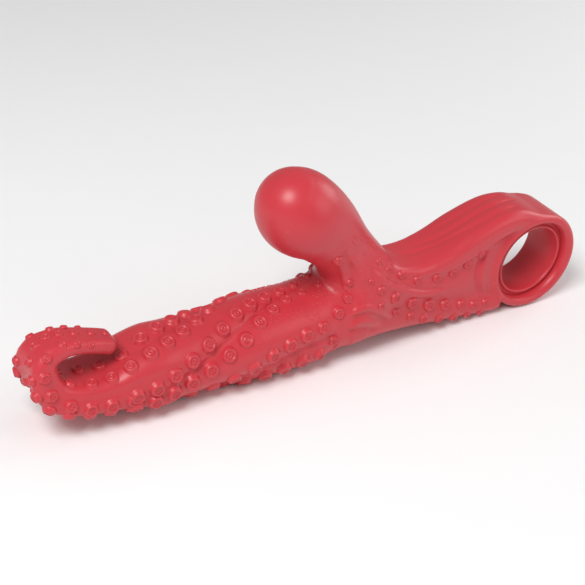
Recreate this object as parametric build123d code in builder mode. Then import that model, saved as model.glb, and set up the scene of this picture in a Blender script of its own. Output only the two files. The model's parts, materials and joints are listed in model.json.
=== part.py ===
"""Octopus chew toy in soft moulded rubber.

The toy lies along X and stands on its underside. Four arms twist round each other to the left
and end in a loop that curls up and back over them. Four more arms run to the right and hold a
finger ring with its liner. The hollow head leans back over the left-hand arms, and a squeaker
is pressed into its far side. +X runs towards the ring, +Z is up, and the origin is on the floor
under the middle of the toy's bounding box.
"""

import os
from math import acos, atan2, cos, degrees, radians, sin, sqrt

from build123d import *

# Overall sizes, in millimetres
HALF_LENGTH = 100.0
SUCKER_RISE = 1.0  # the suckers stand this far out of the arms, so the arms stay off the floor
JOINT_GAP = 0.3  # clearance where the rubber bends
SEAM_GAP = 0.02  # between arms that lie against each other

# Twisted arms, from the trunk at the right to the loop at the left
SHAFT_ARMS = 4
SHAFT_START_X = -1.0
SHAFT_END_X = -64.0
SHAFT_RADIUS_START = 13.4
SHAFT_RADIUS_END = 12.0
SHAFT_STATIONS = 8
TWIST_PER_MM = 1.75  # degrees
GROOVE_ANGLE_AT_START = -10.3  # of the first groove, from +Z towards -Y
GROOVE_DEPTH_SHARE = 0.18  # depth of the groove between two arms, as a share of the radius

# Loop at the left end: (x, z, width along Y, thickness) down the middle of the limb
LOOP_STATIONS = [
    (-64.0, 13.0, 23.6, 23.6),
    (-74.0, 8.6, 23.0, 14.0),
    (-82.5, 9.6, 21.5, 10.6),
    (-89.8, 13.4, 18.5, 8.2),
    (-94.6, 18.6, 15.5, 6.8),
]
TIP_STATIONS = [
    (-96.5, 23.6, 14.4, 6.4),
    (-94.6, 28.6, 13.4, 6.4),
    (-89.2, 31.0, 12.0, 6.2),
    (-81.5, 30.2, 10.2, 5.6),
    (-73.5, 28.6, 8.4, 4.8),
    (-66.5, 27.9, 5.0, 3.0),
]
TIP_PIVOT = (-95.8, 0.0, 21.0)
TIP_KNUCKLE_RADIUS = 3.0
TIP_KNUCKLE_INSET = 1.5

# Trunk and neck
TRUNK_END_X = 26.0
TRUNK_HEIGHT = 14.2  # of the trunk's middle line
TRUNK_STATIONS = [(-1.0, 13.0, 12.4), (13.0, 14.2, 12.8), (TRUNK_END_X, 12.6, 12.6)]
NECK_PIVOT = (12.9, 0.0, 31.0)
NECK_LEAN = 45.8  # degrees from +Z towards -X
NECK_BALL_RADIUS = 12.0
NECK_RIM_RADIUS = 9.2

# Head and the squeaker in it
BULB_RADIUS = 13.7
BULB_DISTANCE = 31.0  # from the neck's pivot to the middle of the bulb
BULB_WALL = 3.6
HEAD_WAIST = (9.25, 15.0)  # radius and distance from the pivot
SQUEAKER_BARREL_RADIUS = 4.4
SQUEAKER_FLANGE_RADIUS = 5.8
SQUEAKER_FLANGE = 1.2
SQUEAKER_SEAT = 11.4  # from the bulb's middle to the underside of the flange
SQUEAKER_LENGTH = 8.6
SQUEAKER_BORE_RADIUS = 3.1
PLUG_LENGTH = 5.4
REED_WIDTH = 3.2
REED_LENGTH = 4.6
REED_THICKNESS = 0.4

# Finger ring and its liner
RING_RADIUS = 17.9
RING_CENTRE = (HALF_LENGTH - RING_RADIUS, 0.0, RING_RADIUS)
RING_WIDTH = 18.6
RING_EDGE_FILLET = 3.2
LINER_OUTER_RADIUS = 14.2
LINER_BORE_RADIUS = 11.8
LINER_LENGTH = 14.4
LINER_LIP_FILLET = 1.1

# Arms that hold the ring: (x, half width along Y, bottom, seam height, top)
RING_ARM_STATIONS = [
    (TRUNK_END_X, 12.4, 1.4, 14.0, 27.6),
    (46.0, 10.4, 1.0, 15.2, 30.4),
    (76.0, 9.0, 0.6, 17.9, 35.4),
]

SIDE_AXIS = (0, 1, 0)


def cross_plane(x, z):
    """Plane across the toy at x, with local axes towards -Y and up."""
    return Plane(origin=(x, 0, z), x_dir=(0, -1, 0), z_dir=(-1, 0, 0))


def side_plane(origin):
    """Plane facing +Y at a point."""
    return Plane(origin=origin, x_dir=(1, 0, 0), z_dir=SIDE_AXIS)


def shaft_radius(x):
    share = (SHAFT_START_X - x) / (SHAFT_START_X - SHAFT_END_X)
    return SHAFT_RADIUS_START + share * (SHAFT_RADIUS_END - SHAFT_RADIUS_START)


def groove_angle(number, x):
    pitch = 360 / SHAFT_ARMS
    return GROOVE_ANGLE_AT_START + number * pitch + TWIST_PER_MM * (SHAFT_START_X - x)


def around(radius, angle):
    """Point of a cross plane at an angle from up towards -Y."""
    return (radius * sin(radians(angle)), radius * cos(radians(angle)))


def limb_plane(stations, index):
    """Plane square to a curved limb at one of its stations, with its local X along Y."""
    x, z = stations[index][:2]
    before = stations[max(index - 1, 0)]
    after = stations[min(index + 1, len(stations) - 1)]
    run = Vector(after[0] - before[0], 0, after[1] - before[1]).normalized()
    return Plane(origin=(x, 0, z), x_dir=SIDE_AXIS, z_dir=run)


def save(part, name):
    part.label = name
    export_step(part, f"parts/{name}.step")


os.makedirs("parts", exist_ok=True)

neck_direction = Vector(-sin(radians(NECK_LEAN)), 0, cos(radians(NECK_LEAN)))
bulb_centre = Vector(*NECK_PIVOT) + neck_direction * BULB_DISTANCE

# Twisted arms ------------------------------------------------------------------------------

for arm in range(SHAFT_ARMS):
    with BuildPart() as shaft_arm:
        for station in range(SHAFT_STATIONS):
            share = station / (SHAFT_STATIONS - 1)
            x = SHAFT_START_X + share * (SHAFT_END_X - SHAFT_START_X)
            crest = shaft_radius(x)
            valley = crest * (1 - GROOVE_DEPTH_SHARE)
            seam = degrees(SEAM_GAP / crest)
            first = groove_angle(arm, x) + seam
            last = groove_angle(arm + 1, x) - seam
            middle = (first + last) / 2
            with BuildSketch(cross_plane(x, crest + SUCKER_RISE)):
                with BuildLine():
                    core = around(SEAM_GAP, middle)
                    Line(core, around(valley, first))
                    ThreePointArc(around(valley, first), around(crest, middle), around(valley, last))
                    Line(around(valley, last), core)
                make_face()
        loft()
    save(shaft_arm.part, f"shaft_arm_{arm + 1}")

# Loop and curled tip -----------------------------------------------------------------------

knuckle_length = LOOP_STATIONS[-1][2] - 2 * TIP_KNUCKLE_INSET
with BuildPart() as end_loop:
    for index, (x, z, width, thickness) in enumerate(LOOP_STATIONS):
        plane = cross_plane(x, z) if index == 0 else limb_plane(LOOP_STATIONS, index)
        with BuildSketch(plane):
            Ellipse(width / 2, thickness / 2)
    loft()
    with BuildSketch(side_plane(TIP_PIVOT)):
        Circle(TIP_KNUCKLE_RADIUS)
    extrude(amount=knuckle_length / 2, both=True)
save(end_loop.part, "end_loop")

with BuildPart() as curled_tip:
    for index, (x, z, width, thickness) in enumerate(TIP_STATIONS):
        with BuildSketch(limb_plane(TIP_STATIONS, index)):
            Ellipse(width / 2, thickness / 2)
    loft()
    with BuildSketch(side_plane(TIP_PIVOT)):
        Circle(TIP_KNUCKLE_RADIUS + JOINT_GAP)
    extrude(amount=RING_WIDTH, both=True, mode=Mode.SUBTRACT)
save(curled_tip.part, "curled_tip")

# Trunk and neck ----------------------------------------------------------------------------

with BuildPart() as trunk:
    for x, half_width, half_height in TRUNK_STATIONS:
        with BuildSketch(cross_plane(x, TRUNK_HEIGHT)):
            Ellipse(half_width, half_height)
    loft()
    with Locations(Location(NECK_PIVOT)):
        Sphere(NECK_BALL_RADIUS)
save(trunk.part, "trunk")

# Head --------------------------------------------------------------------------------------

seat_radius = NECK_BALL_RADIUS + JOINT_GAP
rim_distance = sqrt(seat_radius**2 - NECK_RIM_RADIUS**2)
half_rim_angle = acos(rim_distance / seat_radius) / 2
profile_normal = Vector(*SIDE_AXIS).cross(neck_direction)
with BuildPart() as head_shell:
    with BuildSketch(Plane(origin=NECK_PIVOT, x_dir=SIDE_AXIS, z_dir=profile_normal)):
        with BuildLine():
            crown = (0, BULB_DISTANCE + BULB_RADIUS)
            cheek = (BULB_RADIUS, BULB_DISTANCE)
            rim = (NECK_RIM_RADIUS, rim_distance)
            seat_middle = (seat_radius * sin(half_rim_angle), seat_radius * cos(half_rim_angle))
            seat = (0, seat_radius)
            crown_middle = (BULB_RADIUS * sin(radians(45)), BULB_DISTANCE + BULB_RADIUS * cos(radians(45)))
            ThreePointArc(crown, crown_middle, cheek)
            Spline(cheek, HEAD_WAIST, rim, tangents=((0, -1), (0, -1)))
            ThreePointArc(rim, seat_middle, seat)
            Line(seat, crown)
        make_face()
    revolve(axis=Axis(NECK_PIVOT, neck_direction))
    with Locations(Location(bulb_centre)):
        Sphere(BULB_RADIUS - BULB_WALL, mode=Mode.SUBTRACT)
    with BuildSketch(side_plane(bulb_centre)):
        Circle(SQUEAKER_BARREL_RADIUS)
    extrude(amount=2 * BULB_RADIUS, mode=Mode.SUBTRACT)
    with BuildSketch(side_plane(bulb_centre + Vector(0, SQUEAKER_SEAT, 0))):
        Circle(SQUEAKER_FLANGE_RADIUS)
    extrude(amount=BULB_RADIUS, mode=Mode.SUBTRACT)
save(head_shell.part, "head_shell")

# Squeaker ----------------------------------------------------------------------------------

flange_base = side_plane(bulb_centre + Vector(0, SQUEAKER_SEAT, 0))
with BuildPart() as squeaker_barrel:
    with BuildSketch(flange_base):
        Circle(SQUEAKER_FLANGE_RADIUS)
    extrude(amount=SQUEAKER_FLANGE)
    chamfer(squeaker_barrel.edges().sort_by(Axis.Y)[-1], 0.4)
    with BuildSketch(flange_base):
        Circle(SQUEAKER_BARREL_RADIUS)
    extrude(amount=-SQUEAKER_LENGTH)
    with BuildSketch(flange_base.offset(SQUEAKER_FLANGE)):
        Circle(SQUEAKER_BORE_RADIUS)
    extrude(amount=-SQUEAKER_LENGTH - SQUEAKER_FLANGE, mode=Mode.SUBTRACT)
save(squeaker_barrel.part, "squeaker_barrel")

plug_base = flange_base.offset(-SQUEAKER_LENGTH)
with BuildPart() as squeaker_plug:
    with BuildSketch(plug_base):
        Circle(SQUEAKER_BORE_RADIUS)
    extrude(amount=PLUG_LENGTH)
    with BuildSketch(plug_base):
        Rectangle(REED_WIDTH, REED_THICKNESS)
    extrude(amount=PLUG_LENGTH, mode=Mode.SUBTRACT)
save(squeaker_plug.part, "squeaker_plug")

with BuildPart() as squeaker_reed:
    with BuildSketch(plug_base.offset(PLUG_LENGTH - REED_LENGTH)):
        Rectangle(REED_WIDTH, REED_THICKNESS)
    extrude(amount=REED_LENGTH + 0.8)
save(squeaker_reed.part, "squeaker_reed")

# Finger ring -------------------------------------------------------------------------------

ring_axis = Axis(RING_CENTRE, SIDE_AXIS)
ring_profile_plane = Plane(origin=RING_CENTRE, x_dir=(1, 0, 0), z_dir=(0, 0, 1))
with BuildPart() as ring_loop:
    with BuildSketch(ring_profile_plane):
        with Locations(((RING_RADIUS + LINER_OUTER_RADIUS) / 2, 0)):
            Rectangle(RING_RADIUS - LINER_OUTER_RADIUS, RING_WIDTH)
    revolve(axis=ring_axis)
    outer = ring_loop.faces().filter_by(GeomType.CYLINDER).sort_by(SortBy.AREA)[-1]
    fillet(outer.edges().filter_by(GeomType.CIRCLE), RING_EDGE_FILLET)
save(ring_loop.part, "ring_loop")

with BuildPart() as ring_liner:
    with BuildSketch(ring_profile_plane):
        with Locations(((LINER_OUTER_RADIUS + LINER_BORE_RADIUS) / 2, 0)):
            Rectangle(LINER_OUTER_RADIUS - LINER_BORE_RADIUS, LINER_LENGTH)
    revolve(axis=ring_axis)
    bore = ring_liner.faces().filter_by(GeomType.CYLINDER).sort_by(SortBy.AREA)[0]
    fillet(bore.edges().filter_by(GeomType.CIRCLE), LINER_LIP_FILLET)
save(ring_liner.part, "ring_liner")

# Arms that hold the ring -------------------------------------------------------------------

for name, side, upper in (
    ("ring_arm_1", 1, True),
    ("ring_arm_2", 1, False),
    ("ring_arm_3", -1, True),
    ("ring_arm_4", -1, False),
):
    with BuildPart() as ring_arm:
        for x, half_width, bottom, seam, top in RING_ARM_STATIONS:
            end = top if upper else bottom
            start = seam + SEAM_GAP if upper else seam - SEAM_GAP
            crease = start + 0.84 * (end - start)
            shoulder = (side * 0.74 * half_width, start + 0.83 * (end - start))
            with BuildSketch(cross_plane(x, 0)):
                with BuildLine():
                    Line((side * SEAM_GAP, start), (side * 0.9 * half_width, start))
                    crown = (side * 0.42 * half_width, end)
                    Spline(
                        (side * 0.9 * half_width, start),
                        (side * half_width, start + 0.3 * (end - start)),
                        shoulder,
                        crown,
                        (side * SEAM_GAP, crease),
                    )
                    Line((side * SEAM_GAP, crease), (side * SEAM_GAP, start))
                make_face()
        loft()
        with BuildSketch(side_plane(RING_CENTRE)):
            Circle(RING_RADIUS + SEAM_GAP)
        extrude(amount=RING_WIDTH, both=True, mode=Mode.SUBTRACT)
        with Locations(Location(NECK_PIVOT)):
            Sphere(NECK_BALL_RADIUS, mode=Mode.SUBTRACT)
    save(ring_arm.part, name)
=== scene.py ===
"""Looks for the octopus chew toy: one soft red rubber moulding, its ring liner and its squeaker."""

import json
import math

import bmesh
import bpy
import numpy as np
import openvdb
from bpy.props import FloatProperty, FloatVectorProperty, PointerProperty
from mathutils import Matrix, Vector
from mathutils.bvhtree import BVHTree


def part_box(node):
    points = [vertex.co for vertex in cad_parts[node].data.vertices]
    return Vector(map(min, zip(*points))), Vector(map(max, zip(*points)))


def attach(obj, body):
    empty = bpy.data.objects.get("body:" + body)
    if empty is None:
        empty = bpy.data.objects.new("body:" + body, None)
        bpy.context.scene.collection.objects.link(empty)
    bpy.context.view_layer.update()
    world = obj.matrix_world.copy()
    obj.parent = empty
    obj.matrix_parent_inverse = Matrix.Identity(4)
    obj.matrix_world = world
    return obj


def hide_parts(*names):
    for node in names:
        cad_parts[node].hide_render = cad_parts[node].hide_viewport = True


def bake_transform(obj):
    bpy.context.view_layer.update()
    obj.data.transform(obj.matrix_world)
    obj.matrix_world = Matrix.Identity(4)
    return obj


bl_info = {
    "name": "Octopus Chew Toy",
    "version": (1, 0, 0),
    "blender": (4, 5, 0),
    "location": "3D Viewport > Sidebar > Octopus Toy",
    "description": "Builds the moulded rubber skin, suckers, ring liner and squeaker of an octopus chew toy",
    "category": "Add Mesh",
}

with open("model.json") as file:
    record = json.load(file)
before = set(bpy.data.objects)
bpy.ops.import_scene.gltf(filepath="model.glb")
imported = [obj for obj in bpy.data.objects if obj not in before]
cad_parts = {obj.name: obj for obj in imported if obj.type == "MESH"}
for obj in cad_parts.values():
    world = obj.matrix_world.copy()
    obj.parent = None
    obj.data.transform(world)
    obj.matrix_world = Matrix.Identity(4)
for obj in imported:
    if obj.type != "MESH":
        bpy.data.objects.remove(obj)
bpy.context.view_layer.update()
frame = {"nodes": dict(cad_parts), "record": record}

MM = 0.001
FAR = 0.02
FRONT = -1  # the side along Y that faces the viewer
BACK = 1


# Curves and distances ------------------------------------------------------------------------


def spline(points, count):
    """Catmull-Rom curve through rows of numbers, in metres when the rows are in millimetres."""
    rows = np.array(points, float) * MM
    rows = np.vstack([2 * rows[0] - rows[1], rows, 2 * rows[-1] - rows[-2]])
    spans = len(rows) - 3
    place = np.linspace(0, spans - 1e-9, count)
    first = place.astype(int)
    t = (place - first)[:, None]
    a, b, c, d = (rows[first + step] for step in range(4))
    return 0.5 * (2 * b + (c - a) * t + (2 * a - 5 * b + 4 * c - d) * t**2 + (3 * b - a - 3 * c + d) * t**3)


def smooth_min(a, b, soft):
    share = np.clip(0.5 + 0.5 * (b - a) / soft, 0, 1)
    return b + (a - b) * share - soft * share * (1 - share)


def smooth_max(a, b, soft):
    return -smooth_min(-a, -b, soft)


def smooth_step(value, low, high):
    share = np.clip((value - low) / (high - low), 0, 1)
    return share * share * (3 - 2 * share)


def rounded_box(u, v, half_u, half_v, radius):
    """Distance to a rounded rectangle in the plane of u and v."""
    over_u = np.abs(u) - (half_u - radius)
    over_v = np.abs(v) - (half_v - radius)
    outside = np.hypot(np.maximum(over_u, 0), np.maximum(over_v, 0))
    return outside + np.minimum(np.maximum(over_u, over_v), 0) - radius


def round_cone(x, y, z, start, end, start_radius, end_radius):
    """Distance to a limb between two balls."""
    run = np.array(end) - np.array(start)
    along = ((x - start[0]) * run[0] + (y - start[1]) * run[1] + (z - start[2]) * run[2]) / run.dot(run)
    along = np.clip(along, 0, 1)
    gap = np.sqrt(
        (x - start[0] - along * run[0]) ** 2
        + (y - start[1] - along * run[1]) ** 2
        + (z - start[2] - along * run[2]) ** 2
    )
    return gap - (start_radius + along * (end_radius - start_radius))


class Field:
    """Distances to a rubber surface on a regular grid, in metres and negative inside."""

    def __init__(self, low, high, spacing):
        self.spacing = spacing
        self.low = np.floor(np.array(low) / spacing) * spacing
        self.size = (np.ceil((np.array(high) - self.low) / spacing) + 1).astype(int)
        self.values = np.full(self.size, FAR, np.float32)

    def window(self, low, high):
        """Slices of the grid cells in a box, and their coordinates."""
        cells, places = [], []
        for axis in range(3):
            first = max(0, int(np.floor((low[axis] - self.low[axis]) / self.spacing)))
            last = min(self.size[axis], int(np.ceil((high[axis] - self.low[axis]) / self.spacing)) + 1)
            cells.append(slice(first, last))
            place = self.low[axis] + np.arange(first, last) * self.spacing
            places.append(place.reshape([-1 if other == axis else 1 for other in range(3)]))
        return tuple(cells), places

    def join(self, low, high, shape, soft):
        cells, (x, y, z) = self.window(low, high)
        self.values[cells] = smooth_min(self.values[cells], shape(x, y, z), soft)

    def carve(self, low, high, shape, soft):
        cells, (x, y, z) = self.window(low, high)
        self.values[cells] = smooth_max(self.values[cells], -shape(x, y, z), soft)

    def line(self, curve, width, height):
        """Raises a ridge, or presses a groove, along a curve on the surface; it fades at both ends."""
        reach = 2.6 * width
        cells, (x, y, z) = self.window(curve.min(axis=0) - reach, curve.max(axis=0) + reach)
        gap = FAR
        for share, (px, py, pz) in zip(np.linspace(0, 1, len(curve)), curve):
            fade = smooth_step(min(share, 1 - share), -0.01, 0.2)
            near = np.sqrt((x - px) ** 2 + (y - py) ** 2 + (z - pz) ** 2)
            gap = np.minimum(gap, near + (1 - fade) * 1.6 * width)
        self.values[cells] -= height * np.exp(-((gap / width) ** 2))

    def surface_towards(self, points, axis, start):
        """Points moved along one axis, from start to 0, to where each meets the surface."""
        found = np.array(points, float)
        for point in found:
            ray = np.repeat(point[None], 161, axis=0)
            ray[:, axis] = np.linspace(start, 0, len(ray))
            point[axis] = ray[np.argmax(self.sample(ray) < 0), axis]
        padded = np.pad(found[:, axis], 5, mode="edge")
        found[:, axis] = np.convolve(padded, np.ones(11) / 11, mode="valid")
        return found

    def sample(self, points):
        """Value at each point, in line between the cells around it."""
        place = (points - self.low) / self.spacing
        cell = np.clip(place.astype(int), 0, self.size - 2)
        share = place - cell
        total = 0
        for corner in np.ndindex(2, 2, 2):
            weight = np.prod(np.where(corner, share, 1 - share), axis=1)
            total = total + weight * self.values[tuple((cell + corner).T)]
        return total

    def slope(self, points, reach=0.9):
        """Unit normal of the surface at each point."""
        steps = np.eye(3) * self.spacing * reach
        slopes = [self.sample(points + step) - self.sample(points - step) for step in steps]
        normals = np.stack(slopes, axis=1)
        return normals / np.linalg.norm(normals, axis=1, keepdims=True)

    def mesh(self, name):
        """Mesh of the surface, with its points brought onto it."""
        grid = openvdb.FloatGrid(FAR)
        grid.copyFromArray(self.values)
        points, quads = grid.convertToQuads(0.0)
        points = np.array(points, float) * self.spacing + self.low
        for _ in range(2):
            points -= self.slope(points) * self.sample(points)[:, None]
        mesh = bpy.data.meshes.new(name)
        mesh.from_pydata(points.tolist(), [], np.array(quads).tolist())
        mesh.validate()
        sides = np.zeros(3 * len(mesh.polygons))
        mesh.polygons.foreach_get("normal", sides)
        centres = np.zeros(3 * len(mesh.polygons))
        mesh.polygons.foreach_get("center", centres)
        outward = (sides.reshape(-1, 3) * self.slope(centres.reshape(-1, 3))).sum()
        if outward < 0:
            mesh.flip_normals()
        return mesh


# Shape of the toy ----------------------------------------------------------------------------

SHAFT_END_X = -72 * MM
SHAFT_START_X = 10 * MM
GROOVE_OFFSETS = (0, 94, 184, 278)  # degrees, from the first groove
GROOVE_DEPTH = 0.4 * MM
GROOVE_WIDTH = 0.7 * MM
# How the first groove winds round the shaft: x in millimetres, degrees from +Z towards the viewer
GROOVE_TURNS = [(-72, 110), (-62, 103), (-56, 94), (-50, 84), (-44, 69), (-38, 52), (-32, 37), (-26, 22)]
GROOVE_TURNS += [(-20, 12), (-13, 3), (-7, -3), (0, -5), (10, -8)]
# How far the two rows of suckers stand from their groove: x in millimetres, degrees
FIRST_ROW_SPREAD = [(-68, 10), (-62, 11), (-56, 15), (-50, 18.5), (-43, 20), (-31, 19.5), (-26, 16)]
FIRST_ROW_SPREAD += [(-19, 12), (-13, 9), (0, 13)]
OTHER_ROW_SPREAD = (23, 20, 17)  # degrees, at the other three grooves
# Where the rows at each groove begin and end, along X in millimetres
ROW_ENDS = [(-1.4, -69), (-4.9, -62.5), (-1.4, -54), (-13.4, -62.5)]
SHAFT_REACH = 14.4 * MM  # skin farther than this from the shaft's middle gets no sucker

# Middle of the looped limb: x, z, half width along Y, half thickness, in millimetres
LIMB = [
    (-58, 13.0, 11.4, 9.2),
    (-66, 12.8, 11.3, 7.0),
    (-74, 11.8, 10.9, 5.2),
    (-82, 12.0, 10.2, 4.5),
    (-88.8, 13.9, 9.4, 4.6),
    (-92.2, 18.0, 8.5, 4.7),
    (-93.0, 23.2, 7.4, 4.2),
    (-91.2, 26.8, 6.4, 3.4),
    (-86.4, 28.2, 5.6, 2.6),
    (-81.2, 27.5, 5.0, 2.3),
    (-75.6, 25.9, 4.7, 2.4),
    (-72.6, 24.8, 4.5, 2.6),
]
LIMB_SAMPLES = 220
LIMB_CUT = (-84 * MM, 22 * MM)  # x and z at which the tip's skin parts from the arms' skin
HEAD_CUT = (34 * MM, 40 * MM)  # z, and the x that it reaches
TRUNK_CUTS = (-1 * MM, 26 * MM)  # x at which the trunk's skin begins and ends
FLANGE_DEPTH = 1.2 * MM  # of the recess for the squeaker's flange
SOCKET_REACH = 8 * MM  # half size of the space that the recess is carved in

# Middle of the head and neck: x, z and radius, in millimetres
HEAD_CHAIN = [
    (-12.5, 55.6, 11.5),
    (-9.5, 52.5, 13.1),
    (-2.0, 46.8, 11.6),
    (7.4, 36.4, 9.8),
    (14.7, 23.6, 12.6),
]


def groove_angle(number, x):
    """Angle of a groove between two twisted arms, in radians from +Z towards the viewer."""
    places, angles = np.array(GROOVE_TURNS, float).T
    return np.radians(np.interp(x / MM, places, angles) + GROOVE_OFFSETS[number])


def crest_radius(x):
    thick = 1.3 * smooth_step(x, -42 * MM, -26 * MM)
    taper = 3.4 * smooth_step(x, -6 * MM, 9 * MM) + 1.2 * smooth_step(-x, 60 * MM, 70 * MM)
    return (12.0 + thick - taper) * MM


def shaft_height(x):
    return (12.6 + 2.0 * smooth_step(x, -2 * MM, 10 * MM)) * MM


def twisted_arms(x, y, z):
    up = z - shaft_height(x)
    total = np.hypot(y, up) - 7.5 * MM
    crest = crest_radius(x)
    radius = 0.69 * crest
    reach = crest - radius
    for number in range(4):
        following = GROOVE_OFFSETS[(number + 1) % 4] + 360 * (number == 3)
        angle = groove_angle(number, x) + math.radians(following - GROOVE_OFFSETS[number]) / 2
        arm = np.hypot(y + reach * np.sin(angle), up - reach * np.cos(angle)) - radius
        total = smooth_min(total, arm, 1.4 * MM)
    for number in range(4):
        angle = groove_angle(number, x)
        across = np.abs(y * np.cos(angle) + up * np.sin(angle))
        outward = up * np.cos(angle) - y * np.sin(angle)
        groove = GROOVE_DEPTH * np.exp(-((across / GROOVE_WIDTH) ** 2))
        total = total + groove * smooth_step(outward, 4 * MM, 8 * MM)
    total = smooth_max(total, 0.3 * MM - z, 1.0 * MM)
    ramp = (z - 24.4 * MM - (x + 60 * MM) * 0.56) * 0.87
    total = smooth_max(total, ramp, 4.0 * MM)
    total = smooth_max(total, SHAFT_END_X - x, 5.0 * MM)
    return np.maximum(total, x - SHAFT_START_X)


def limb(first, last):
    """Shape of the looped limb between two shares of its length."""
    curve = spline(LIMB, LIMB_SAMPLES)
    begin, end = round(first * LIMB_SAMPLES), round(last * LIMB_SAMPLES)
    curve = curve[begin:end]
    run = np.gradient(curve[:, :2], axis=0)
    run /= np.linalg.norm(run, axis=1, keepdims=True)

    def shape(x, y, z):
        gaps = np.hypot(x[..., None] - curve[:, 0], z[..., None] - curve[:, 1])
        near = gaps.argmin(axis=-1)
        off_x = x - curve[near, 0]
        off_z = z - curve[near, 1]
        side = off_z * run[near, 0] - off_x * run[near, 1]
        beyond = off_x * run[near, 0] + off_z * run[near, 1]
        beyond = np.maximum(np.where((near == 0) & (beyond < 0), -beyond, beyond), 0)
        half_width, half_thickness = curve[near, 2], curve[near, 3]
        corner = np.where(side > 0, np.minimum(0.86 * half_thickness, 2.6 * MM), 0.9 * half_thickness)
        section = rounded_box(side, y, half_thickness, half_width, corner)
        wide = smooth_step(half_width, 6.5 * MM, 9 * MM)
        hollow = 1.7 * MM * np.exp(-((y / (0.55 * half_width)) ** 2)) * smooth_step(side, 0, 2 * MM)
        under = np.hypot(side + 0.35 * half_thickness, np.abs(y) - half_width) / (1.7 * MM)
        section = section + (hollow + 1.0 * MM * np.exp(-(under**2))) * wide
        rounded = np.hypot(np.maximum(section + half_thickness, 0), beyond) - half_thickness
        return np.where(beyond > 0, rounded, section)

    return shape


def head_and_neck(x, y, z):
    chain = spline(HEAD_CHAIN, 40)
    total = FAR
    for before, after in zip(chain, chain[1:]):
        start, end = (before[0], 0, before[1]), (after[0], 0, after[1])
        total = np.minimum(total, round_cone(x, y, z, start, end, before[2], after[2]))
    return total


def trunk(x, y, z):
    reach = np.sqrt(((x - 10 * MM) / 1.45) ** 2 + (y * 0.98) ** 2 + ((z - 17.6 * MM) * 1.08) ** 2)
    return reach - 12.4 * MM


def ring_strands(x, y, z):
    """Broad upper band that runs from the neck over the ring."""
    band = spline(BAND, 160)
    top, low, half_width = (np.interp(x, band[:, 0], band[:, column]) for column in (1, 2, 3))
    half_height = (top - low) / 2
    crown = 0.4 * MM * smooth_step(np.abs(y), 2 * MM, 9 * MM)
    corner = np.minimum(half_height, 3.4 * MM)
    section = rounded_box(y, z - (top + low) / 2 + crown, half_width, half_height, corner)
    return np.maximum(np.maximum(section, x - band[-1, 0]), band[0, 0] - x)


def ring_web(x, y, z):
    """Fill between the ring arms."""
    place = np.array([8, 24, 40, 55, 74]) * MM
    low = np.interp(x, place, np.array([6, 7, 5.5, 4, 2.2]) * MM)
    top = np.interp(x, place, np.array([24, 26, 25, 28, 32]) * MM)
    half_width = np.interp(x, place, np.array([11.2, 10.4, 9.0, 8.3, 7.9]) * MM)
    section = rounded_box(y, z - (top + low) / 2, half_width, (top - low) / 2, 4.0 * MM)
    return np.maximum(np.maximum(section, x - 74 * MM), 8 * MM - x)


def side_arm(points):
    """Limb in line with the toy on both sides: rows of x, y, z, half depth along Y, half height."""
    rows = spline(points, 120)

    def shape(x, y, z):
        columns = (np.interp(x, rows[:, 0], rows[:, column]) for column in range(1, 5))
        middle_y, middle_z, depth, height = columns
        off_y = (np.abs(y) - middle_y) / depth
        off_z = (z - middle_z) / height
        section = (np.hypot(off_y, off_z) - 1) * np.minimum(depth, height)
        return np.maximum(np.maximum(section, x - rows[-1, 0]), rows[0, 0] - x)

    return shape


# Broad band: x, top, underside and half width, in millimetres
BAND = [
    (16, 30.0, 26.0, 7.0),
    (24, 29.0, 25.4, 8.4),
    (34, 28.1, 22.6, 9.5),
    (45, 30.6, 22.2, 9.7),
    (55, 34.9, 25.4, 9.6),
    (66, 38.3, 29.8, 9.4),
    (74, 38.6, 31.6, 9.3),
    (80, 37.0, 31.8, 9.2),
    (86, 34.2, 31.0, 9.0),
]
# Ring arms, the same on both sides: x, y, z, half depth along Y and half height, in millimetres
LOWER_ARM = [
    (2, 6.0, 10.8, 5.4, 6.2),
    (14, 5.8, 11.9, 5.4, 6.4),
    (24, 5.4, 10.8, 5.2, 6.0),
    (34, 4.9, 9.0, 4.9, 5.2),
    (45, 4.5, 7.0, 4.8, 4.6),
    (55, 4.4, 5.8, 4.7, 4.2),
    (66, 4.4, 4.6, 4.9, 4.1),
    (76, 4.4, 4.2, 5.2, 4.1),
]
MIDDLE_ARM = [
    (10, 5.4, 22.4, 6.0, 4.5),
    (24, 5.0, 20.6, 5.6, 4.4),
    (34, 4.6, 18.6, 5.1, 4.4),
    (45, 4.4, 17.6, 4.9, 5.4),
    (55, 4.2, 17.4, 4.5, 6.6),
    (68, 3.6, 17.2, 4.2, 7.4),
]


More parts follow.
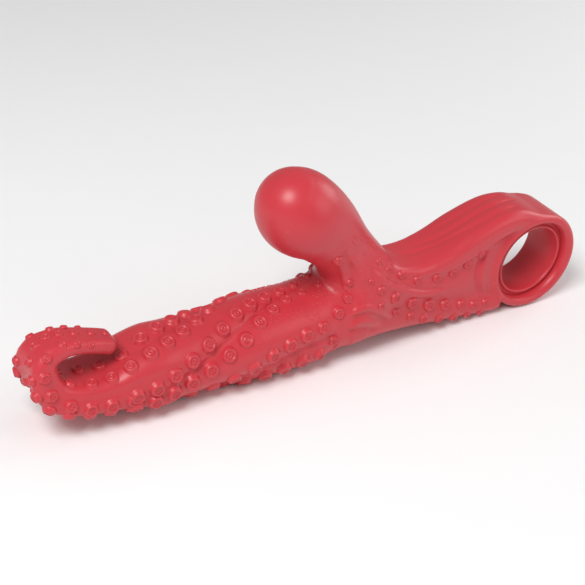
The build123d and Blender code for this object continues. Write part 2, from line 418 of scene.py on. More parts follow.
# Lines on both sides: points x and z, then width and height, all in millimetres
SIDE_LINES = [
    ([(-5.4, 43.9), (-0.7, 38.7), (2.1, 34.4), (3.5, 31.5), (4.2, 29.4), (4.4, 27.6), (4.0, 26.2)], 1.0, 0.9),
    ([(-2.4, 44.8), (1.6, 39.8), (4.3, 35.4), (5.6, 32.0), (6.0, 28.8), (5.4, 25.8)], 0.9, -0.5),
    ([(3.0, 40.4), (6.4, 36.6), (8.7, 32.8), (9.8, 29.0)], 1.4, 0.7),
    (
        [(11.9, 33.9), (14.1, 30.7), (16.7, 27.9), (22.4, 24.1), (28.5, 20.7), (37.7, 17.4), (50, 16.1)],
        1.1,
        1.0,
    ),
    ([(16.4, 31.1), (21.3, 26.9), (28.4, 22.7), (37.3, 19.3), (46.0, 18.0)], 0.8, -0.5),
    (
        [(14.0, 36.0), (19.7, 30.4), (25.6, 26.7), (31.9, 23.9), (40.1, 22.6), (46.7, 22.8), (52.6, 24.6),
         (62, 29)],
        1.6,
        -0.7,
    ),
    ([(4.6, 19.0), (7.1, 20.9), (11.2, 21.2), (17.3, 17.3), (24.6, 12.0)], 0.9, 0.9),
    ([(4.4, 17.0), (7.4, 18.7), (11.2, 18.8), (16.4, 15.4), (22.6, 11.0)], 0.8, -0.6),
    ([(4.0, 14.2), (6.3, 15.5), (8.6, 16.5), (12.4, 15.3), (18.7, 11.7)], 0.8, 0.7),
    ([(4.2, 12.2), (7.4, 13.6), (11.6, 13.0), (17.4, 9.6)], 0.8, -0.5),
    ([(63.6, 28.6), (61.2, 24.5), (59.9, 20.5), (60.7, 15.3), (65.0, 8.4)], 1.1, 1.0),
    ([(61.4, 28.2), (58.9, 24.2), (57.6, 19.9), (58.3, 14.4), (62.4, 8.0)], 1.0, -0.6),
]
# Grooves on top of the broad band: points x and y, then width and depth
STRAND_LINES = [
    ([(26, 1.5), (36, -1.2), (47, -2.6), (57, -4.6), (69, -4.4), (80, -2.6)], 0.9, 0.45),
    ([(33, 3.4), (43, 0.8), (52, -0.6), (62, -0.6), (73, 0.0), (80, 0.8)], 0.9, 0.5),
    ([(44, 4.6), (52, 3.4), (60, 3.2), (69, 3.8), (78, 4.6)], 0.9, 0.45),
]


class Ring:
    """Place and sizes of the finger ring, read from the frame."""

    def __init__(self):
        low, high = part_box("ring_loop")
        self.x = (low[0] + high[0]) / 2
        self.z = (low[2] + high[2]) / 2
        self.outer = (high[0] - low[0]) / 2
        self.half_width = (high[1] - low[1]) / 2
        self.rim_radius = self.outer - 0.4 * MM
        self.rim_x = self.x + 1.0 * MM
        self.rim_z = self.rim_radius
        bore = next(mount for mount in frame["record"]["mounts"] if mount["name"] == "ring_bore")
        self.bore = bore["dims"]["r_mm"] * MM
        liner_low, liner_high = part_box("ring_liner")
        self.liner = (liner_high[0] - liner_low[0]) / 2
        self.liner_half_width = (liner_high[1] - liner_low[1]) / 2

    def from_axis(self, x, z):
        return np.hypot(x - self.x, z - self.z)

    def shape(self, x, y, z):
        out = np.hypot(x - self.rim_x, z - self.rim_z)
        return rounded_box(out, y, self.rim_radius, self.half_width + 0.7 * MM, 2.6 * MM)

    def hole(self, x, y, z):
        return self.from_axis(x, z) - self.liner


def add_lines(field):
    """Ridges and grooves moulded into the trunk, the neck and the ring arms."""
    for side in (FRONT, BACK):
        for points, width, height in SIDE_LINES:
            curve = np.insert(spline(points, 70), 1, 0, axis=1)
            field.line(field.surface_towards(curve, 1, side * 0.017), width * MM, height * MM)
    for points, width, depth in STRAND_LINES:
        curve = np.insert(spline(points, 90), 2, 0, axis=1)
        field.line(field.surface_towards(curve, 2, 0.045), width * MM, -depth * MM)


def body_field(spacing, ring):
    field = Field((-0.102, -0.018, -0.002), (0.103, 0.018, 0.070), spacing)
    field.join((-0.076, -0.017, -0.002), (0.012, 0.017, 0.030), twisted_arms, 1.0 * MM)
    field.join((-0.102, -0.016, -0.002), (-0.052, 0.016, 0.036), limb(0, 0.5), 2.4 * MM)
    field.join((-0.012, -0.018, -0.002), (0.036, 0.018, 0.036), trunk, 4.0 * MM)
    field.join((-0.030, -0.018, 0.004), (0.034, 0.018, 0.070), head_and_neck, 2.8 * MM)
    field.join((0.002, -0.018, 0), (0.072, 0.018, 0.036), ring_web, 3.4 * MM)
    field.join((0.000, -0.018, -0.002), (0.070, 0.018, 0.030), side_arm(LOWER_ARM), 2.2 * MM)
    field.join((0.008, -0.018, 0.004), (0.070, 0.018, 0.036), side_arm(MIDDLE_ARM), 2.2 * MM)
    field.join((0.014, -0.018, 0.014), (0.086, 0.018, 0.040), ring_strands, 3.2 * MM)
    around = (ring.x - 0.022, -0.018, -0.002), (0.103, 0.018, 0.040)
    field.join(*around, ring.shape, 1.8 * MM)
    field.carve(*around, ring.hole, 3.0 * MM)
    add_lines(field)
    return field


def tip_field(spacing):
    field = Field((-0.102, -0.018, -0.002), (-0.060, 0.018, 0.038), spacing)
    field.join((-0.102, -0.018, -0.002), (-0.060, 0.018, 0.038), limb(0.12, 1), 1.0 * MM)
    return field


# Meshes --------------------------------------------------------------------------------------


def cut(mesh, name, planes):
    """Copy of a mesh on the kept side of each plane, closed at the cuts.

    planes holds a point, a normal towards the kept side, and a test of which points the cut reaches.
    """
    work = bmesh.new()
    work.from_mesh(mesh)
    for point, normal, reach in planes:
        faces = [face for face in work.faces if all(reach(corner.co) for corner in face.verts)]
        edges = {edge for face in faces for edge in face.edges}
        corners = {corner for face in faces for corner in face.verts}
        result = bmesh.ops.bisect_plane(
            work,
            geom=[*faces, *edges, *corners],
            dist=1e-7,
            plane_co=point,
            plane_no=normal,
            clear_inner=True,
        )
        rim = [part for part in result["geom_cut"] if isinstance(part, bmesh.types.BMEdge)]
        bmesh.ops.holes_fill(work, edges=[edge for edge in rim if edge.is_boundary], sides=0)
    loose = [corner for corner in work.verts if not corner.link_faces]
    bmesh.ops.delete(work, geom=loose, context="VERTS")
    result = bpy.data.meshes.new(name)
    work.to_mesh(result)
    work.free()
    return result


def largest_part(mesh):
    """Drops every loose island but the largest."""
    work = bmesh.new()
    work.from_mesh(mesh)
    work.verts.ensure_lookup_table()
    seen = np.zeros(len(work.verts), bool)
    islands = []
    for start in work.verts:
        if seen[start.index]:
            continue
        seen[start.index] = True
        island, open_ends = [start], [start]
        while open_ends:
            corner = open_ends.pop()
            for edge in corner.link_edges:
                other = edge.other_vert(corner)
                if not seen[other.index]:
                    seen[other.index] = True
                    island.append(other)
                    open_ends.append(other)
        islands.append(island)
    islands.sort(key=len)
    bmesh.ops.delete(work, geom=[corner for island in islands[:-1] for corner in island], context="VERTS")
    work.to_mesh(mesh)
    work.free()


def set_normals(mesh, field):
    """Gives the skin the field's own normals, so that parts of it meet without a seam."""
    points = np.empty(3 * len(mesh.vertices))
    mesh.vertices.foreach_get("co", points)
    normals = field.slope(points.reshape(-1, 3))
    mesh.polygons.foreach_set("use_smooth", [True] * len(mesh.polygons))
    corners = np.empty(len(mesh.loops), int)
    mesh.loops.foreach_get("vertex_index", corners)
    by_corner = normals[corners]
    for face in mesh.polygons:
        if len(face.vertices) > 6:
            by_corner[list(face.loop_indices)] = face.normal
    mesh.normals_split_custom_set(by_corner.tolist())


def search_tree(mesh):
    """Tree of a mesh's faces, in which rays and points find the skin."""
    faces = [face.vertices for face in mesh.polygons]
    return BVHTree.FromPolygons([corner.co for corner in mesh.vertices], faces)


def add_object(name, mesh, material):
    piece = bpy.data.objects.new(name, mesh)
    bpy.context.collection.objects.link(piece)
    mesh.materials.clear()
    mesh.materials.append(material)
    return piece


# Section of a sucker: distance from its middle and height, in shares of its radius
SUCKER_PROFILE = [
    (1.28, -0.40),
    (1.17, 0.00),
    (1.08, 0.10),
    (1.01, 0.22),
    (0.95, 0.36),
    (0.87, 0.49),
    (0.78, 0.57),
    (0.68, 0.60),
    (0.59, 0.57),
    (0.52, 0.49),
    (0.45, 0.45),
    (0.38, 0.47),
    (0.30, 0.53),
    (0.23, 0.54),
    (0.15, 0.49),
    (0.08, 0.44),
    (0.0, 0.43),
]
SUCKER_SIDES = 24
SUCKER_PROUD = 0.5  # height over radius


def sucker_points(place, normal, radius, sink):
    """Rings of points of one sucker on the skin."""
    across = normal.orthogonal().normalized()
    other = normal.cross(across)
    rings = []
    for share, height in SUCKER_PROFILE[:-1]:
        ring = []
        for side in range(SUCKER_SIDES):
            angle = 2 * math.pi * side / SUCKER_SIDES
            out = across * math.cos(angle) + other * math.sin(angle)
            point = place + out * radius * share + normal * (height * radius - sink)
            point.z = max(point.z, 0)
            ring.append(point)
        rings.append(ring)
    return rings, place + normal * (SUCKER_PROFILE[-1][1] * radius - sink)


def dot_mesh(name, spots):
    """One low dome for each spot."""
    work = bmesh.new()
    for place, normal, radius in spots:
        turn = normal.to_track_quat("Z", "Y").to_matrix().to_4x4()
        flat = Matrix.Diagonal((radius, radius, 0.7 * radius, 1))
        matrix = Matrix.Translation(place) @ turn @ flat
        bmesh.ops.create_icosphere(work, subdivisions=2, radius=1, matrix=matrix)
    mesh = bpy.data.meshes.new(name)
    work.to_mesh(mesh)
    work.free()
    mesh.polygons.foreach_set("use_smooth", [True] * len(mesh.polygons))
    return mesh


def sucker_mesh(name, spots):
    """One closed dish for each spot: a place on the skin, the way it faces, and its radius."""
    corners, faces = [], []
    for place, normal, radius in spots:
        base = len(corners)
        proud = place.z + normal.z * SUCKER_PROUD * radius
        sink = 0.12 * radius + max(0, -proud / max(-normal.z, 0.2))
        rings, middle = sucker_points(place, normal, radius, sink)
        for ring in rings:
            corners.extend(ring)
        corners.append(middle)
        top = len(corners) - 1
        for level in range(len(rings) - 1):
            for side in range(SUCKER_SIDES):
                following = (side + 1) % SUCKER_SIDES
                low, high = base + level * SUCKER_SIDES, base + (level + 1) * SUCKER_SIDES
                faces.append((low + side, low + following, high + following, high + side))
        last = base + (len(rings) - 1) * SUCKER_SIDES
        for side in range(SUCKER_SIDES):
            faces.append((last + side, last + (side + 1) % SUCKER_SIDES, top))
        faces.append(tuple(base + side for side in reversed(range(SUCKER_SIDES))))
    mesh = bpy.data.meshes.new(name)
    mesh.from_pydata([tuple(corner) for corner in corners], [], faces)
    mesh.polygons.foreach_set("use_smooth", [len(face) < 6 for face in faces])
    return mesh


def shaft_spots(tree, number, pitch):
    """Two rows of suckers beside one groove of the twisted arms."""
    spots = []
    first, last = (end * MM for end in ROW_ENDS[number])
    places, spreads = np.array(FIRST_ROW_SPREAD, float).T
    for step in range(int((first - last) / pitch) + 1):
        here = first - step * pitch
        radius = (1.3 + 1.05 * smooth_step(-here, 0, 28 * MM)) * MM
        if number == 1:
            radius = (1.8 + 0.55 * smooth_step(-here, 0, 14 * MM)) * MM
        spread = np.interp(here / MM, places, spreads) if number == 0 else OTHER_ROW_SPREAD[number - 1]
        middle = Vector((here, 0, shaft_height(here)))
        for side in (-1, 1):
            angle = groove_angle(number, here) + side * math.radians(spread)
            out = Vector((0, -math.sin(angle), math.cos(angle)))
            hit, normal, *_ = tree.ray_cast(middle, out)
            if hit is not None and (hit - middle).length < SHAFT_REACH:
                spots.append((hit, (normal + 0.3 * out).normalized(), radius))
    return spots


def row_spots(tree, points, count, sides, wanted):
    """A row of suckers on the nearest skin, where wanted(x, z): points x, y, z and radius, in millimetres."""
    spots = []
    for side in sides:
        for x, y, z, radius in spline(points, count):
            if wanted(x, z):
                place, normal, *_ = tree.find_nearest(Vector((x, side * y, z)))
                spots.append((place, normal, radius))
    return spots


def past_cut(x, z):
    """Whether a place on the limb belongs to the curled tip."""
    return x < LIMB_CUT[0] or z > LIMB_CUT[1]


def flank_spots(tree, points, count):
    """A row of suckers on both flanks, facing sideways: points x, z and radius, in millimetres."""
    spots = []
    for side in (FRONT, BACK):
        out = Vector((0, side, 0))
        for x, z, radius in spline(points, count):
            place, normal, *_ = tree.ray_cast(Vector((x, side * 0.04, z)), -out)
            if place is not None:
                spots.append((place, (normal + 0.9 * out).normalized(), radius))
    return spots


def stipple_spots(tree, patches, draws):
    """Small dots scattered on the skin: centre, half sizes in x, y and z, and how many."""
    spots = []
    for middle, half, count in patches:
        for side in (1, -1):
            for _ in range(count):
                shift = draws.normal(0, 0.5, 3)
                place = Vector([(m + h * float(d)) * MM for m, h, d in zip(middle, half, shift)])
                place.y *= side
                spot, normal, *_ = tree.find_nearest(place)
                spots.append((spot, normal, float(draws.uniform(0.20, 0.34)) * MM))
    return spots


# Materials -----------------------------------------------------------------------------------


class Socket:
    """A shader socket that can be added, multiplied and mixed like a number."""

    def __init__(self, shader, socket):
        self.shader = shader
        self.socket = socket

    def math(self, operation, *others):
        values = {0: self, **{place + 1: other for place, other in enumerate(others)}}
        return self.shader.node("ShaderNodeMath", {"operation": operation}, values)

    def __add__(self, other):
        return self.math("ADD", other)

    __radd__ = __add__

    def __mul__(self, other):
        return self.math("MULTIPLY", other)

    __rmul__ = __mul__

    def __sub__(self, other):
        return self.math("SUBTRACT", other)

    def __rsub__(self, other):
        return self.shader.node("ShaderNodeMath", {"operation": "SUBTRACT"}, {0: other, 1: self})

    def clamped(self, low, high):
        """Goes from 0 at low to 1 at high."""
        inputs = {"Value": self, "From Min": low, "From Max": high}
        return self.shader.node("ShaderNodeMapRange", {"clamp": True}, inputs)


class Shader:
    """A node material, its output fed by one Principled shader."""

    def __init__(self, name):
        self.material = bpy.data.materials.new(name)
        self.material.use_nodes = True
        self.tree = self.material.node_tree
        self.surface = self.tree.nodes["Principled BSDF"]

    def node(self, kind, settings, inputs, output=0):
        """New node of a kind, with its settings and inputs; returns one of its outputs."""
        node = self.tree.nodes.new(kind)
        for key, value in settings.items():
            setattr(node, key, value)
        self.feed(node, inputs)
        return Socket(self, node.outputs[output])

    def feed(self, node, inputs):
        for key, value in inputs.items():
            if isinstance(value, Socket):
                self.tree.links.new(value.socket, node.inputs[key])
            else:
                node.inputs[key].default_value = value

    def set(self, **inputs):
        self.feed(self.surface, {key.replace("_", " "): value for key, value in inputs.items()})

    def place(self):
        return self.node("ShaderNodeTexCoord", {}, {}, "Object")

    def noise(self, place, scale, detail=3.0, roughness=0.5):
        inputs = {"Vector": place, "Scale": scale, "Detail": detail, "Roughness": roughness}
        return self.node("ShaderNodeTexNoise", {}, inputs)

    def mix(self, share, first, second):
        """Colour between two colours; the numbers are the node's own factor, colours and result."""
        return self.node("ShaderNodeMix", {"data_type": "RGBA"}, {0: share, 6: first, 7: second}, 2)

    def bump(self, height, strength, distance, normal=None):
        inputs = {"Height": height, "Strength": strength, "Distance": distance}
        if normal:
            inputs["Normal"] = normal
        return self.node("ShaderNodeBump", {}, inputs)


def rubber_material(toy):
    """Soft satin rubber: faint mottling in the colour, matte grain, paler worn high spots, and painted shade
    that darkens the creases and hollows.
    """
    shader = Shader("red_rubber")
    place = shader.place()
    cloud = shader.noise(place, 38.0, 3.0)
    grain = shader.noise(place, 2600.0, 2.0, 0.6)
    ripple = shader.noise(place, 260.0, 2.0)
    height = shader.node("ShaderNodeNewGeometry", {}, {}, "Pointiness")
    # painted shade: a darker copy of the rubber colour, laid into creases and hollows where shade falls
    painted_crease_shade = (*(0.62 * part for part in toy.rubber), 1)
    pale = (*(min(1, 1.12 * part + 0.012) for part in toy.rubber), 1)
    base = shader.mix(cloud.clamped(0.32, 0.68), (*toy.rubber, 1), (*(0.93 * part for part in toy.rubber), 1))
    worn = shader.mix(height.clamped(0.52, 0.60) * 0.5, base, pale)
    # painted shade: where the skin is hollow the colour moves towards the darker copy, standing in for shade
    # in the creases
    colour = shader.mix((1 - height.clamped(0.42, 0.49)) * 0.75, worn, painted_crease_shade)
    rough = toy.rubber_roughness + (cloud - 0.5) * 0.10 + (ripple - 0.5) * 0.08
    soft = shader.bump(ripple, 0.10, 0.0004)
    shader.set(Base_Color=colour, Roughness=rough, Normal=shader.bump(grain, 0.12, 0.00012, soft))
    shader.set(IOR=1.45, Specular_IOR_Level=0.52)
    return shader.material


def plastic_material():
    """Off-white moulded plastic of the squeaker."""
    shader = Shader("squeaker_plastic")
    place = shader.place()
    cloud = shader.noise(place, 300.0, 2.0)
    grain = shader.noise(place, 4200.0, 2.0)
    colour = shader.mix(cloud.clamped(0.3, 0.7), (0.80, 0.78, 0.72, 1), (0.72, 0.70, 0.63, 1))
    shader.set(Base_Color=colour, Roughness=0.38 + cloud * 0.12, Normal=shader.bump(grain, 0.15, 0.0001))
    return shader.material


def brass_material():
    """Thin sheet brass of the reed."""
    shader = Shader("reed_brass")
    place = shader.place()
    stretch = {0: place, 1: (1.0, 12.0, 1.0)}
    stretched = shader.node("ShaderNodeVectorMath", {"operation": "MULTIPLY"}, stretch)
    brushed = shader.noise(stretched, 1400.0, 3.0)
    colour = shader.mix(brushed.clamped(0.3, 0.7), (0.78, 0.57, 0.22, 1), (0.66, 0.46, 0.16, 1))
    shader.set(Base_Color=colour, Metallic=1.0, Roughness=0.25 + brushed * 0.2)
    return shader.material


def floor_material(stage):
    shader = Shader("stage_floor")
    speck = shader.noise(shader.place(), 60.0, 2.0)
    grey = (*(0.985 * part for part in stage.floor), 1)
    shader.set(Base_Color=shader.mix(speck, (*stage.floor, 1), grey), Roughness=0.9)
    return shader.material


# Settings ------------------------------------------------------------------------------------


class ToySettings(bpy.types.PropertyGroup):
    """How the toy's rubber is made."""

    spacing: FloatProperty(
        name="Detail",
        description="Spacing of the grid that the rubber skin is drawn on",
        default=0.4 * MM,
        min=0.2 * MM,
        max=1.5 * MM,
        unit="LENGTH",
        precision=5,
    )
    rubber: FloatVectorProperty(
        name="Rubber colour",
        description="Colour of the moulded rubber",
        default=(0.60, 0.040, 0.055),
        subtype="COLOR",
        size=3,
    )
    rubber_roughness: FloatProperty(
        name="Rubber roughness",
        description="Roughness of the satin surface",
        default=0.37,
        subtype="FACTOR",
    )
    sucker_pitch: FloatProperty(
        name="Sucker pitch",
        description="Distance between two suckers in a row on the twisted arms",
        default=6.0 * MM,
        unit="LENGTH",
        precision=5,
    )


class StageSettings(bpy.types.PropertyGroup):
    """Camera, floor and light."""

    azimuth: FloatProperty(
        name="Azimuth",
        description="Camera's turn round the toy, from straight in front",
        default=math.radians(-36.0),
        subtype="ANGLE",
    )
    elevation: FloatProperty(
        name="Elevation",
        description="Camera's height above the horizon",
        default=math.radians(32.5),
        subtype="ANGLE",
    )
    roll: FloatProperty(
        name="Roll",
        description="Camera's turn about its own line of sight",
        default=math.radians(6.5),
        subtype="ANGLE",
    )
    distance: FloatProperty(
        name="Distance",
        description="Distance from the camera to the point it looks at",
        default=0.422,
        unit="LENGTH",
    )
    target: FloatVectorProperty(
        name="Target",
        description="Point that the camera looks at",
        default=(-0.0093, 0.0, 0.0245),
        subtype="TRANSLATION",
        size=3,
    )
    floor: FloatVectorProperty(
        name="Floor colour",
        description="Colour of the pale floor",
        default=(0.93, 0.93, 0.93),
        subtype="COLOR",
        size=3,
    )


# Operators -----------------------------------------------------------------------------------


class Shared:
    """What one operator makes and the next ones use."""

    made = {}


def need(name):
    if name not in Shared.made:
        raise RuntimeError(f"{name} isn't made yet; build the skin first")
    return Shared.made[name]


class TOY_OT_skin(bpy.types.Operator):
    """Makes the rubber skin in parts: arms, trunk, ring side, head and curled tip"""

    bl_idname = "toy.skin"
    bl_label = "Rubber skin"

    def execute(self, context):
        toy = context.scene.toy
        ring = Ring()
        material = rubber_material(toy)
        body = body_field(toy.spacing, ring)
        barrel_low, barrel_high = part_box("squeaker_barrel")
        middle = ((barrel_low[0] + barrel_high[0]) / 2, (barrel_low[2] + barrel_high[2]) / 2)
        flange = (barrel_high[0] - barrel_low[0]) / 2

        def socket(x, y, z):
            out = np.hypot(x - middle[0], z - middle[1]) - flange
            return np.maximum(out, barrel_high[1] - FLANGE_DEPTH - y)

        low = (middle[0] - SOCKET_REACH, 0.002, middle[1] - SOCKET_REACH)
        high = (middle[0] + SOCKET_REACH, 0.018, middle[1] + SOCKET_REACH)
        body.carve(low, high, socket, 0.3 * MM)
        whole = body.mesh("whole_body")
        largest_part(whole)
        tip = tip_field(toy.spacing)
        whole_tip = tip.mesh("whole_tip")
        largest_part(whole_tip)

        def everywhere(co):
            return True

        def above_cut(co):
            return co.x < HEAD_CUT[1] and co.z > HEAD_CUT[0] - 4 * MM

        def below_tip(co):
            return co.z < LIMB_CUT[1]

        head_plane = Vector((0, 0, HEAD_CUT[0]))
        up, down, left, right = Vector((0, 0, 1)), Vector((0, 0, -1)), Vector((-1, 0, 0)), Vector((1, 0, 0))
        limb_plane = Vector((LIMB_CUT[0], 0, 0))
        trunk_left, trunk_right = (Vector((x, 0, 0)) for x in TRUNK_CUTS)
        head_side = Vector((HEAD_CUT[1], 0, 0))
        low_head = (head_plane, down, above_cut)
        parts = {
            "arms_skin": (
                whole,
                body,
                [low_head, (trunk_left, left, everywhere), (limb_plane, right, everywhere)],
            ),
            "trunk_skin": (
                whole,
                body,
                [low_head, (trunk_left, right, everywhere), (trunk_right, left, everywhere)],
            ),
            "ring_side_skin": (whole, body, [(trunk_right, right, everywhere)]),
            "head_skin": (whole, body, [(head_side, left, everywhere), (head_plane, up, everywhere)]),
            "tip_skin": (whole_tip, tip, [(limb_plane, left, below_tip)]),
        }
        pieces = {}
        for name, (mesh, field, planes) in parts.items():
            part = cut(mesh, name, planes)
            set_normals(part, field)
            pieces[name] = add_object(name, part, material)
        for name in ("arms_skin", "trunk_skin", "ring_side_skin"):
            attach(pieces[name], "body")
        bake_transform(pieces["head_skin"])
        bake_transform(pieces["tip_skin"])
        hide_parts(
            "shaft_arm_1", "shaft_arm_2", "shaft_arm_3", "shaft_arm_4", "end_loop"
        )
        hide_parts("trunk")
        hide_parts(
            "ring_arm_1", "ring_arm_2", "ring_arm_3", "ring_arm_4", "ring_loop"
        )
        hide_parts("head_shell")
        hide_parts("curled_tip")
        Shared.made["rubber"] = material
        Shared.made["body_tree"] = search_tree(whole)
        Shared.made["tip_tree"] = search_tree(whole_tip)
        bpy.data.meshes.remove(whole)
        bpy.data.meshes.remove(whole_tip)
        return {"FINISHED"}


# Rows of suckers round the loop: points x, y, z and radius in millimetres, how many, and on which sides
LOOP_ROWS = [
    ([(-68.5, -11.2, 10.2, 2.1), (-75, -10.8, 10.0, 2.1), (-81.2, -10.2, 10.4, 2.0), (-87.0, -9.4, 12.8, 1.9),
      (-92.4, -8.4, 17.5, 1.8), (-94.0, -7.4, 23.4, 1.7), (-92.8, -5.9, 28.8, 1.3)], 7, (1, -1)),
    ([(-87.6, -4.4, 31.0, 1.2), (-83.2, -4.5, 30.2, 1.1), (-79.0, -4.5, 28.6, 1.0)], 3, (1, -1)),
    ([(-68.2, -10.4, 5.4, 2.2), (-75, -9.4, 5.6, 2.1), (-81.4, -8.8, 6.8, 2.0), (-87.2, -8.4, 9.6, 1.9),
      (-92.6, -7.4, 12.9, 1.8), (-96.4, -6.6, 17.2, 1.7), (-97.6, -5.0, 22.0, 1.5)], 7, (1, -1)),
    ([(-71, -3.2, 4.2, 2.0), (-78, -3.0, 5.4, 2.0), (-84.6, -3.0, 7.6, 1.9), (-90.4, -2.8, 11.0, 1.8),
      (-95.0, -2.4, 15.6, 1.7)], 5, (1, -1)),
    ([(-97.2, -1.4, 26.0, 1.5), (-94.6, 0.0, 29.6, 1.4), (-91.2, 1.0, 31.0, 1.4), (-88.2, 0.8, 31.2, 1.3),
      (-84.6, 0.6, 31.1, 1.3), (-80.3, 0.4, 30, 1.2), (-76.1, 0.2, 28.5, 1.1), (-72.4, 0.2, 27, 1.0)],
     7, (1,)),
    ([(-68.3, -2.4, 20.0, 2.0), (-74.3, -0.4, 17.1, 2.0), (-80.2, 1.2, 16.3, 1.8), (-86.4, 1.0, 18.4, 1.6)],
     4, (1,)),
    ([(-67.9, -7.5, 19.4, 2.1), (-73.6, -7.1, 17.0, 2.0), (-79.6, -6.3, 16.3, 1.9), (-85.3, -5.0, 17.7, 1.6)],
     4, (1,)),
]
# Rows on both flanks of the trunk and the ring arms: points x, z and radius, and how many
SIDE_ROWS = [
    ([(15.1, 34.6, 1.0), (19.7, 30.4, 1.3), (25.6, 26.7, 1.4), (31.9, 23.7, 1.5), (40.1, 22.4, 1.7),
      (46.7, 22.5, 1.7), (52.6, 24.4, 1.7), (57.8, 26.9, 1.4)], 8),
    ([(11.5, 29.6, 1.0), (15.3, 25.9, 1.5), (21.8, 21.2, 2.0), (30.6, 16.0, 2.2), (38.5, 12.6, 2.2),
      (45.7, 10.5, 2.0), (53.0, 8.5, 1.7), (58.5, 7.1, 1.4), (63.6, 6.6, 1.2)], 9),
    ([(15.7, 20.6, 1.3), (23.9, 14.5, 1.5), (30.7, 10.9, 1.6), (36.7, 8.1, 1.6), (44.2, 5.6, 1.6),
      (51.1, 4.0, 1.6), (57.0, 3.2, 1.4), (62.6, 2.6, 1.2)], 8),
    ([(5.2, 29.6, 1.2), (4.6, 24.4, 1.6), (1.0, 20.7, 1.9)], 3),
    ([(0.0, 10.9, 1.7), (0.1, 10.8, 1.7)], 1),
]
NECK_ROW = ([(-1.2, 39.7, 1.5), (-1.1, 39.6, 1.5)], 1)

# Patches of stipple: middle and half sizes in millimetres, and how many dots
STIPPLE = [
    ((-21, 8.0, 24.0), (13, 1.8, 2), 90),
    ((-2.0, -5.5, 25.5), (4, 2.6, 2), 70),
    ((-8, -9.8, 21.6), (4, 1, 1), 14),
    ((-25, -11.4, 17.4), (4, 1, 2), 16),
    ((12, -7.0, 4.5), (9, 1.8, 1), 80),
    ((16, -8.8, 33), (5, 1, 2), 24),
]
STIPPLE_SEED = 11
NECK_STIPPLE = [((3, -11, 44.5), (5, 1.5, 4.5), 40), ((11, -8, 40), (5, 1.5, 4), 26)]


class TOY_OT_suckers(bpy.types.Operator):
    """Sets the suckers on the twisted arms, the looped limb, the ring arms and the neck"""

    bl_idname = "toy.suckers"
    bl_label = "Suckers"

    def execute(self, context):
        toy = context.scene.toy
        rubber = need("rubber")
        body_tree, tip_tree = need("body_tree"), need("tip_tree")
        groups = {}
        for number in range(4):
            groups[f"suckers_arm_{number + 1}"] = (shaft_spots(body_tree, number, toy.sucker_pitch), "body")
        on_body, on_tip = [], []
        for points, count, sides in LOOP_ROWS:
            on_body += row_spots(body_tree, points, count, sides, lambda x, z: not past_cut(x, z))
            on_tip += row_spots(tip_tree, points, count, sides, past_cut)
        groups["suckers_loop"] = (on_body, "body")
        groups["suckers_tip"] = (on_tip, "tip")
        on_side = [spot for row in SIDE_ROWS for spot in flank_spots(body_tree, *row)]
        groups["suckers_ring_side"] = (on_side, "body")
        groups["suckers_neck"] = (flank_spots(body_tree, *NECK_ROW), "head")
        pieces = {name: (sucker_mesh(name, spots), body) for name, (spots, body) in groups.items()}
        draws = np.random.default_rng(STIPPLE_SEED)
        dots = {"stipple_body": (STIPPLE, "body"), "stipple_neck": (NECK_STIPPLE, "head")}
        for name, (patches, body) in dots.items():
            pieces[name] = (dot_mesh(name, stipple_spots(body_tree, patches, draws)), body)
        for name, (mesh, body) in pieces.items():
            piece = add_object(name, mesh, rubber)
            if body == "body":
                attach(piece, "body")
            else:
                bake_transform(piece)
        return {"FINISHED"}


# Section of the liner: millimetres past the bore, and share of the half width from the ring's middle
LINER_PROFILE = [
    (0.0, 0.86),
    (0.08, 0.98),
    (0.32, 1.04),
    (0.65, 1.055),
    (0.95, 1.035),
    (1.20, 0.985),
    (1.50, 0.95),
    (2.20, 0.94),
    (3.20, 0.94),
]
LINER_PROFILE += [(out, -along) for out, along in reversed(LINER_PROFILE)]
LINER_SIDES = 128


class TOY_OT_liner(bpy.types.Operator):
    """Makes the rounded liner inside the finger ring"""

    bl_idname = "toy.liner"
    bl_label = "Ring liner"

    def execute(self, context):
        ring = Ring()
        work = bmesh.new()
        rings = []
        for side in range(LINER_SIDES):
            angle = 2 * math.pi * side / LINER_SIDES
            loop = []
            for out, along in LINER_PROFILE:
                radius = ring.bore + out * MM
                x = ring.x + radius * math.cos(angle)
                z = ring.z + radius * math.sin(angle)
                loop.append(work.verts.new((x, along * ring.liner_half_width, z)))
            rings.append(loop)
        for side in range(LINER_SIDES):
            here, following = rings[side], rings[(side + 1) % LINER_SIDES]
            for number in range(len(LINER_PROFILE)):
                other = (number + 1) % len(LINER_PROFILE)
                work.faces.new((here[number], here[other], following[other], following[number]))
        bmesh.ops.recalc_face_normals(work, faces=work.faces)
        mesh = bpy.data.meshes.new("ring_liner_lips")
        work.to_mesh(mesh)
        work.free()
        mesh.polygons.foreach_set("use_smooth", [True] * len(mesh.polygons))
        piece = add_object("ring_liner_lips", mesh, need("rubber"))
        smooth = piece.modifiers.new("rounding", "SUBSURF")
        smooth.levels = smooth.render_levels = 1
        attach(piece, "body")
        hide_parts("ring_liner")
        return {"FINISHED"}


class TOY_OT_squeaker(bpy.types.Operator):
    """Gives the squeaker's plastic and brass parts their materials"""

    bl_idname = "toy.squeaker"
    bl_label = "Squeaker"

    def execute(self, context):
        plastic, brass = plastic_material(), brass_material()
        materials = {"squeaker_barrel": plastic, "squeaker_plug": plastic, "squeaker_reed": brass}
        for name, material in materials.items():
            for slot in frame["nodes"][name].material_slots:
                slot.material = material
        return {"FINISHED"}


FLOOR_HALF = 3.0  # half size of the floor, in metres
WORLD_LIGHT = 0.31
CAMERA_LENS = 85  # millimetres
# Soft lights: name, place from the camera's target and size, in metres, and power in watts
LIGHTS = (
    ("key", (-0.42, -0.22, 0.62), 0.30, 4.6),
    ("fill", (0.55, -0.55, 0.40), 0.50, 1.4),
    ("rim", (0.66, 0.02, 0.30), 0.34, 1.3),
)


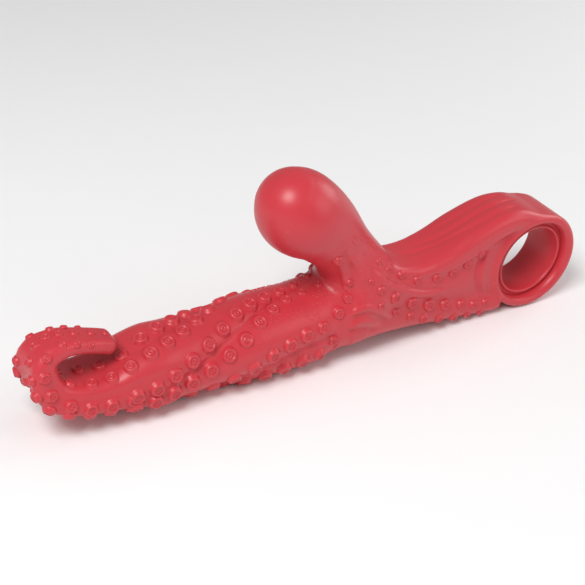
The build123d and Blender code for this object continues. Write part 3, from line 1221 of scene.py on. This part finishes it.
class TOY_OT_stage(bpy.types.Operator):
    """Sets the floor, the soft studio lights and the camera"""

    bl_idname = "toy.stage"
    bl_label = "Stage"

    def execute(self, context):
        stage = context.scene.toy_stage
        mesh = bpy.data.meshes.new("stage_floor")
        half = FLOOR_HALF
        corners = [(-half, -half, 0), (half, -half, 0), (half, half, 0), (-half, half, 0)]
        mesh.from_pydata(corners, [], [(0, 1, 2, 3)])
        floor = add_object("stage_floor", mesh, floor_material(stage))

        world = bpy.data.worlds.new("studio")
        world.use_nodes = True
        world.node_tree.nodes["Background"].inputs["Color"].default_value = (1, 1, 1, 1)
        world.node_tree.nodes["Background"].inputs["Strength"].default_value = WORLD_LIGHT
        context.scene.world = world
        middle = Vector(stage.target)
        for name, place, size, power in LIGHTS:
            lamp = bpy.data.lights.new(name, "AREA")
            lamp.energy = power
            lamp.size = size
            light = bpy.data.objects.new(name, lamp)
            light.location = middle + Vector(place)
            light.rotation_euler = Vector(place).to_track_quat("Z", "Y").to_euler()
            context.collection.objects.link(light)

        azimuth, elevation, roll = stage.azimuth, stage.elevation, stage.roll
        back = Vector((
            math.sin(azimuth) * math.cos(elevation),
            -math.cos(azimuth) * math.cos(elevation),
            math.sin(elevation),
        ))
        level = Vector((math.cos(azimuth), math.sin(azimuth), 0))
        rise = back.cross(level)
        across = level * math.cos(roll) + rise * math.sin(roll)
        upright = rise * math.cos(roll) - level * math.sin(roll)
        lens = bpy.data.cameras.new("camera")
        lens.lens = CAMERA_LENS
        lens.clip_start = 0.01
        camera = bpy.data.objects.new("camera", lens)
        turn = Matrix((across, upright, back)).transposed().to_4x4()
        camera.matrix_world = Matrix.Translation(middle + back * stage.distance) @ turn
        context.collection.objects.link(camera)
        context.scene.camera = camera
        context.scene.view_settings.view_transform = "Standard"
        return {"FINISHED"}


class TOY_PT_panel(bpy.types.Panel):
    """Buttons and settings in the sidebar"""

    bl_label = "Octopus Toy"
    bl_space_type = "VIEW_3D"
    bl_region_type = "UI"
    bl_category = "Octopus Toy"

    def draw(self, context):
        for settings, operators in (
            (context.scene.toy, (TOY_OT_skin, TOY_OT_suckers, TOY_OT_liner, TOY_OT_squeaker)),
            (context.scene.toy_stage, (TOY_OT_stage,)),
        ):
            for name in type(settings).__annotations__:
                self.layout.prop(settings, name)
            for operator in operators:
                self.layout.operator(operator.bl_idname)


CLASSES = (
    ToySettings,
    StageSettings,
    TOY_OT_skin,
    TOY_OT_suckers,
    TOY_OT_liner,
    TOY_OT_squeaker,
    TOY_OT_stage,
    TOY_PT_panel,
)


def register():
    for item in CLASSES:
        bpy.utils.register_class(item)
    bpy.types.Scene.toy = PointerProperty(type=ToySettings)
    bpy.types.Scene.toy_stage = PointerProperty(type=StageSettings)


def unregister():
    del bpy.types.Scene.toy_stage
    del bpy.types.Scene.toy
    for item in reversed(CLASSES):
        bpy.utils.unregister_class(item)


def main():
    register()
    bpy.ops.toy.skin()
    bpy.ops.toy.suckers()
    bpy.ops.toy.liner()
    bpy.ops.toy.squeaker()
    bpy.ops.toy.stage()


if __name__ == "__main__":
    main()
